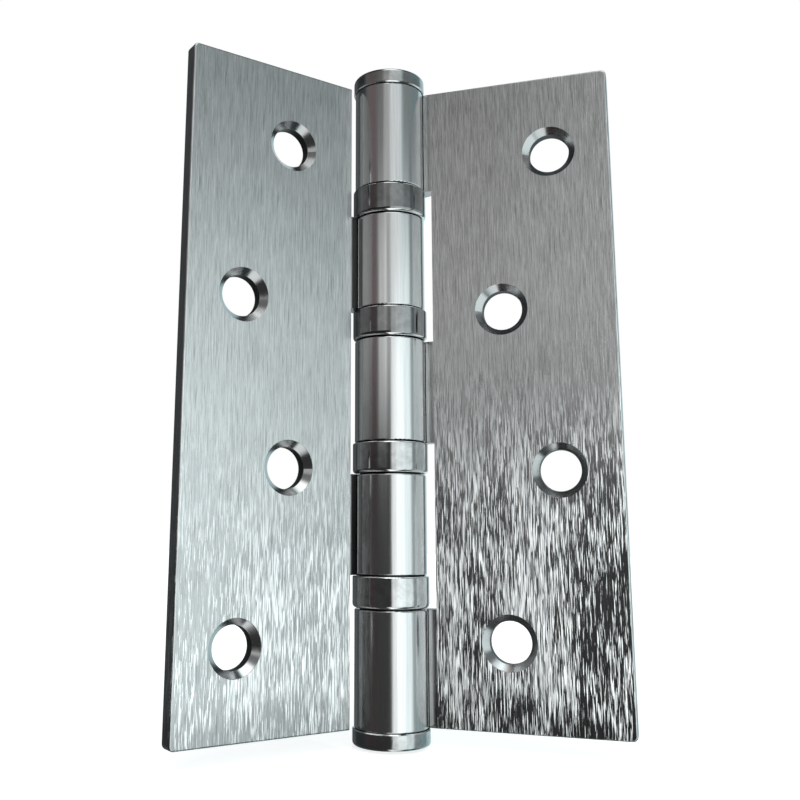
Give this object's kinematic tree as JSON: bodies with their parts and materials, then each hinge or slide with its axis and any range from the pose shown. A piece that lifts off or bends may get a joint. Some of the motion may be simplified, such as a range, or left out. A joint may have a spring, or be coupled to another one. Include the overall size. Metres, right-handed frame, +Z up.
{
  "type": "ball bearing butt hinge",
  "caption": "Steel butt hinge: two flat leaves with countersunk holes, rolled knuckles on a fixed pin, thrust ball bearings between the knuckles and turned end caps.",
  "frame": {"origin": "on the pin's axis, at half the height of the leaves", "axes": "+Z up the pin; the frame leaf lies along +X with its countersunk face towards -Y"},
  "size_m": [0.0592, 0.0326, 0.1048],
  "materials": {
    "leaf_steel": "satin, brushed along the pin",
    "pin_steel": "ground",
    "cap_steel": "turned and polished",
    "cover_steel": "drawn and polished",
    "race_steel": "hardened, ground grooves",
    "ball_steel": "polished"
  },
  "bodies": {
    "frame_side": {"frame_leaf": "leaf_steel", "hinge_pin": "pin_steel", "top_cap": "cap_steel", "bottom_cap": "cap_steel", "bearing_1_upper_race": "race_steel", "bearing_2_lower_race": "race_steel", "bearing_2_cover": "cover_steel", "bearing_3_upper_race": "race_steel", "bearing_4_lower_race": "race_steel", "bearing_4_cover": "cover_steel"},
    "door_side": {"door_leaf": "leaf_steel", "bearing_1_lower_race": "race_steel", "bearing_1_cover": "cover_steel", "bearing_2_upper_race": "race_steel", "bearing_3_lower_race": "race_steel", "bearing_3_cover": "cover_steel", "bearing_4_upper_race": "race_steel"},
    "ball_ring_1": {"bearing_1_balls": "ball_steel"},
    "ball_ring_2": {"bearing_2_balls": "ball_steel"},
    "ball_ring_3": {"bearing_3_balls": "ball_steel"},
    "ball_ring_4": {"bearing_4_balls": "ball_steel"}
  },
  "joints": [
    {"name": "door_swing", "type": "hinge", "parent": "frame_side", "child": "door_side", "pos_m": [0, 0, 0], "axis": [0, 0, 1], "range_deg": [-172, 128]},
    {"name": "ball_ring_1_roll", "type": "hinge", "parent": "frame_side", "child": "ball_ring_1", "pos_m": [0, 0, 0], "axis": [0, 0, 1], "range_deg": [-86, 64]},
    {"name": "ball_ring_2_roll", "type": "hinge", "parent": "frame_side", "child": "ball_ring_2", "pos_m": [0, 0, 0], "axis": [0, 0, 1], "range_deg": [-86, 64]},
    {"name": "ball_ring_3_roll", "type": "hinge", "parent": "frame_side", "child": "ball_ring_3", "pos_m": [0, 0, 0], "axis": [0, 0, 1], "range_deg": [-86, 64]},
    {"name": "ball_ring_4_roll", "type": "hinge", "parent": "frame_side", "child": "ball_ring_4", "pos_m": [0, 0, 0], "axis": [0, 0, 1], "range_deg": [-86, 64]}
  ],
  "couplings": [
    {"joint": "ball_ring_1_roll", "follows": "door_swing", "ratio": 0.5},
    {"joint": "ball_ring_2_roll", "follows": "door_swing", "ratio": 0.5},
    {"joint": "ball_ring_3_roll", "follows": "door_swing", "ratio": 0.5},
    {"joint": "ball_ring_4_roll", "follows": "door_swing", "ratio": 0.5}
  ]
}
